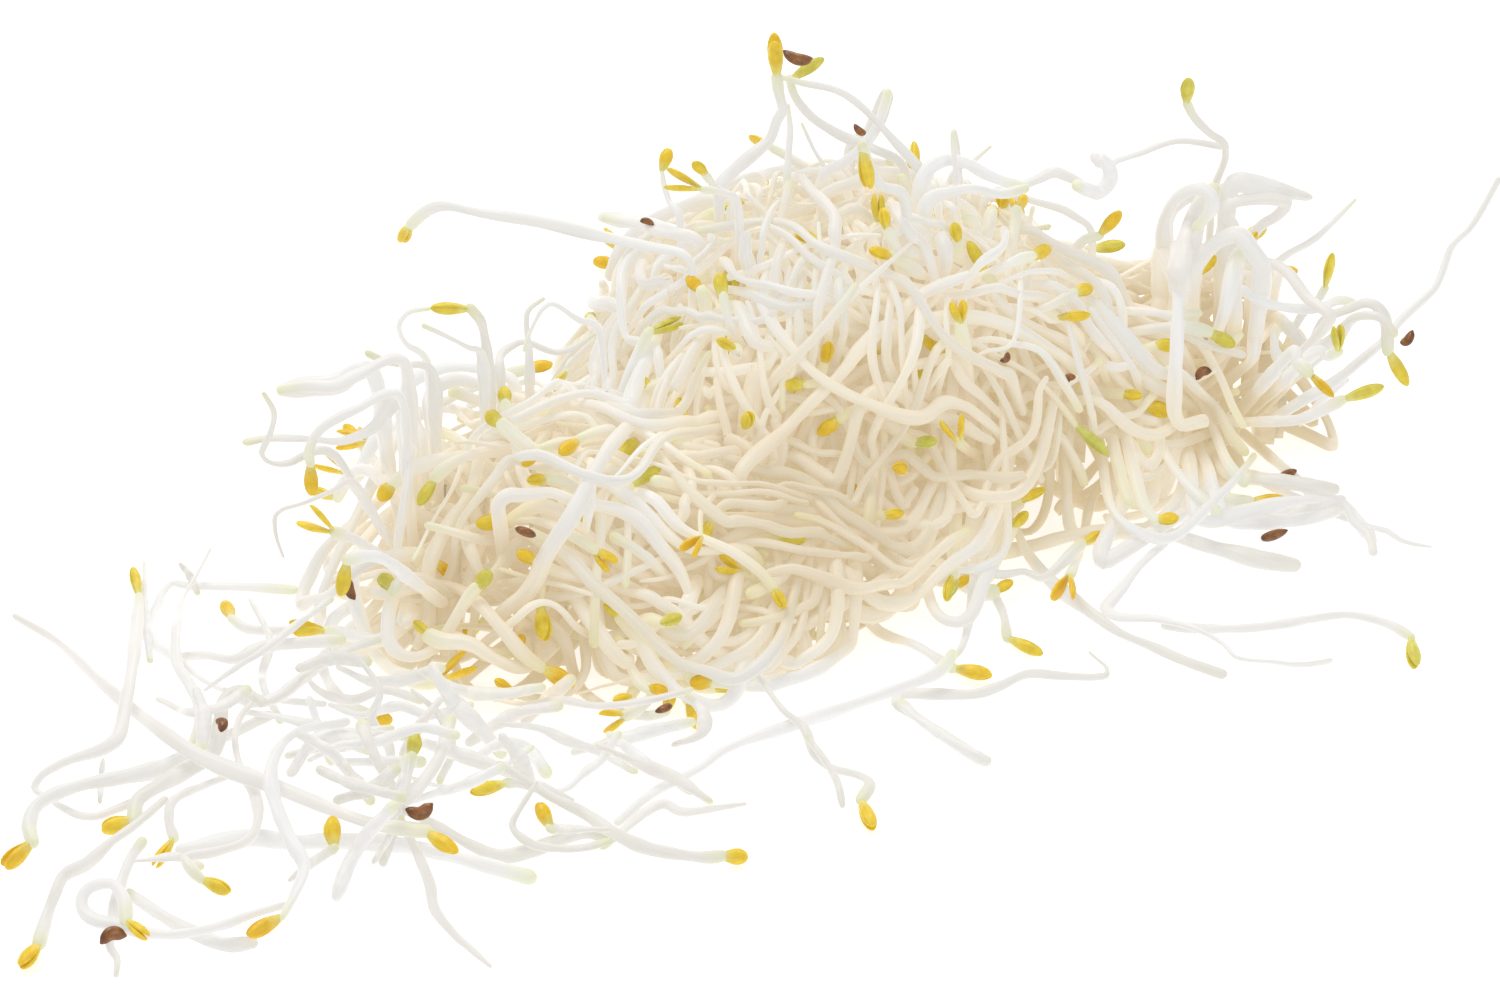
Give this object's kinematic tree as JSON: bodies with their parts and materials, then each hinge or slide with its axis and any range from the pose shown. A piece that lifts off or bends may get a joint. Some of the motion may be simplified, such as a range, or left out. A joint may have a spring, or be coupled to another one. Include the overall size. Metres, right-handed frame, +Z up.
{
  "type": "alfalfa sprouts",
  "caption": "Loose tangled heap of thin white sprout stems with small yellow cotyledons and brown seed coats, lying flat.",
  "frame": {"origin": "on the surface the heap lies on, under the middle of the whole heap's box", "axes": "+Z up from the surface, +X along the heap towards its taller right end, +Y towards the back"},
  "size_m": [0.1297, 0.0981, 0.0389],
  "materials": {
    "stem": "moist, translucent white plant stem",
    "cotyledon": "smooth golden-yellow seed leaves",
    "seed_coat": "brown, slightly glossy seed shell"
  },
  "bodies": {
    "root": {"tangle": "stem", "far_left_stem": "stem", "tall_left_stem": "stem", "bent_left_stem": "stem", "upright_left_stem": "stem", "hooked_left_stem": "stem", "coiled_left_stem": "stem", "front_left_stem": "stem", "short_left_stem": "stem", "thick_left_stem": "stem", "ringed_stem": "stem", "looped_stem": "stem", "front_root_stem": "stem", "front_loop_stem": "stem", "front_stub_stem": "stem", "crossing_root_stem": "stem", "long_root_stem": "stem", "wavy_left_stem": "stem", "bridge_left_stem": "stem", "nodding_stem": "stem", "dark_seeded_stem": "stem", "front_bow_stem": "stem", "front_hoop_stem": "stem", "front_nod_stem": "stem", "front_reach_stem": "stem", "front_tuck_stem": "stem", "budded_stem": "stem", "long_front_stem": "stem", "curled_front_stem": "stem", "front_spur_stem": "stem", "folded_right_stem": "stem", "right_reach_stem": "stem", "far_left_cotyledons": "cotyledon", "tall_left_cotyledons": "cotyledon", "hooked_left_cotyledons": "cotyledon", "coiled_left_cotyledons": "cotyledon", "front_left_cotyledons": "cotyledon", "short_left_cotyledons": "cotyledon", "ringed_cotyledons": "cotyledon", "looped_cotyledons": "cotyledon", "front_loop_cotyledons": "cotyledon", "nodding_cotyledons": "cotyledon", "dark_seeded_cotyledons": "cotyledon", "front_nod_cotyledons": "cotyledon", "front_reach_cotyledons": "cotyledon", "front_tuck_cotyledons": "cotyledon", "curled_front_cotyledons": "cotyledon", "right_reach_cotyledons": "cotyledon", "seed_coat_front": "seed_coat", "seed_coat_left": "seed_coat"}
  },
  "joints": []
}
